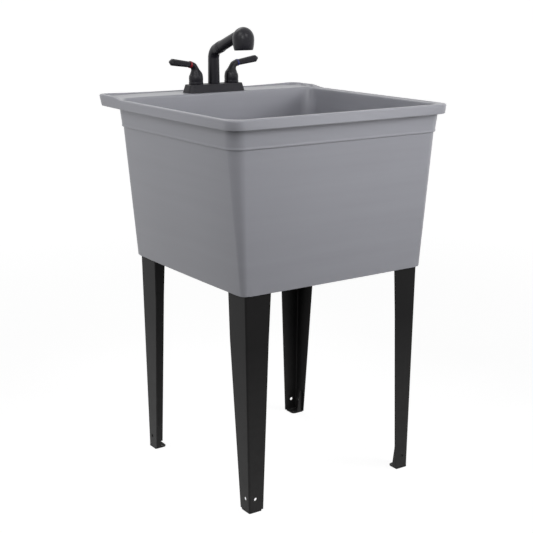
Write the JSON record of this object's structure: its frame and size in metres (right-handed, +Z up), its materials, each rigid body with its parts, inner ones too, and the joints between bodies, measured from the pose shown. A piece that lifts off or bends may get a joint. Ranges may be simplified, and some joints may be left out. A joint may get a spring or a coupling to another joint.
{
  "type": "utility laundry sink",
  "caption": "Free-standing moulded utility sink: a deep square tub on tapered angle legs, with a deck-mounted centre-set tap that has lever handles and a pull-out spray.",
  "frame": {"origin": "centre of the bounding box at floor level, under the middle of the rim", "axes": "+Z up, front (the side away from the tap) towards -Y, hot handle towards -X"},
  "size_m": [0.584, 0.613, 1.0319],
  "materials": {
    "grey_plastic": "satin moulded polypropylene, light grey",
    "black_paint": "satin black powder coat on bent steel sheet",
    "zinc_steel": "bright zinc plate",
    "polished_steel": "polished stainless steel",
    "black_rubber": "matt moulded rubber",
    "white_nylon": "natural nylon",
    "brass": "machined brass",
    "index_red": "moulded red ring",
    "index_blue": "moulded blue ring",
    "nozzle_rubber": "soft grey nozzle rubber",
    "spray_black": "satin black moulding",
    "tap_black": "satin black coating"
  },
  "bodies": {
    "sink": {"tub": "grey_plastic", "leg_front_left": "black_paint", "foot_front_left": "black_paint", "leg_screw_front_left": "zinc_steel", "leg_front_right": "black_paint", "foot_front_right": "black_paint", "leg_screw_front_right": "zinc_steel", "leg_back_left": "black_paint", "foot_back_left": "black_paint", "leg_screw_back_left": "zinc_steel", "leg_back_right": "black_paint", "foot_back_right": "black_paint", "leg_screw_back_right": "zinc_steel", "drain_body": "polished_steel", "drain_gasket": "black_rubber", "drain_friction_washer": "white_nylon", "drain_locknut": "white_nylon", "tap_gasket": "black_rubber", "tap_cover": "tap_black", "tap_body": "brass", "hot_cartridge": "white_nylon", "hot_bonnet_nut": "brass", "cold_cartridge": "white_nylon", "cold_bonnet_nut": "brass", "hot_mounting_washer": "zinc_steel", "hot_mounting_nut": "brass", "cold_mounting_washer": "zinc_steel", "cold_mounting_nut": "brass"},
    "hot_handle": {"hot_stem": "brass", "hot_hub": "tap_black", "hot_index_ring": "index_red", "hot_lever": "tap_black", "hot_set_screw": "zinc_steel"},
    "cold_handle": {"cold_stem": "brass", "cold_hub": "tap_black", "cold_index_ring": "index_blue", "cold_lever": "tap_black", "cold_set_screw": "zinc_steel"},
    "spout": {"spout_riser": "tap_black", "spout_bushing": "white_nylon", "spout_o_ring": "black_rubber", "spout_set_screw": "zinc_steel"},
    "wand": {"wand_sleeve": "spray_black", "hose_connector": "brass", "spray_head": "spray_black", "spray_face": "spray_black", "nozzle_pad": "nozzle_rubber"},
    "stopper": {"drain_stopper": "black_rubber"}
  },
  "joints": [
    {"name": "hot_turn", "type": "hinge", "parent": "sink", "child": "hot_handle", "pos_m": [-0.051, 0.2368, 0.915], "axis": [0, 0, 1], "range_deg": [-6, 84]},
    {"name": "cold_turn", "type": "hinge", "parent": "sink", "child": "cold_handle", "pos_m": [0.051, 0.2368, 0.915], "axis": [0, 0, 1], "range_deg": [-90, 0]},
    {"name": "spout_swivel", "type": "hinge", "parent": "sink", "child": "spout", "pos_m": [0, 0.2368, 0.93], "axis": [0, 0, 1], "range_deg": [-90, 90]},
    {"name": "wand_pull", "type": "slide", "parent": "spout", "child": "wand", "axis": [0, -0.9379, 0.3469], "range_m": [0, 0.12]},
    {"name": "stopper_lift", "type": "slide", "parent": "sink", "child": "stopper", "axis": [0, 0, 1], "range_m": [0, 0.04]}
  ]
}
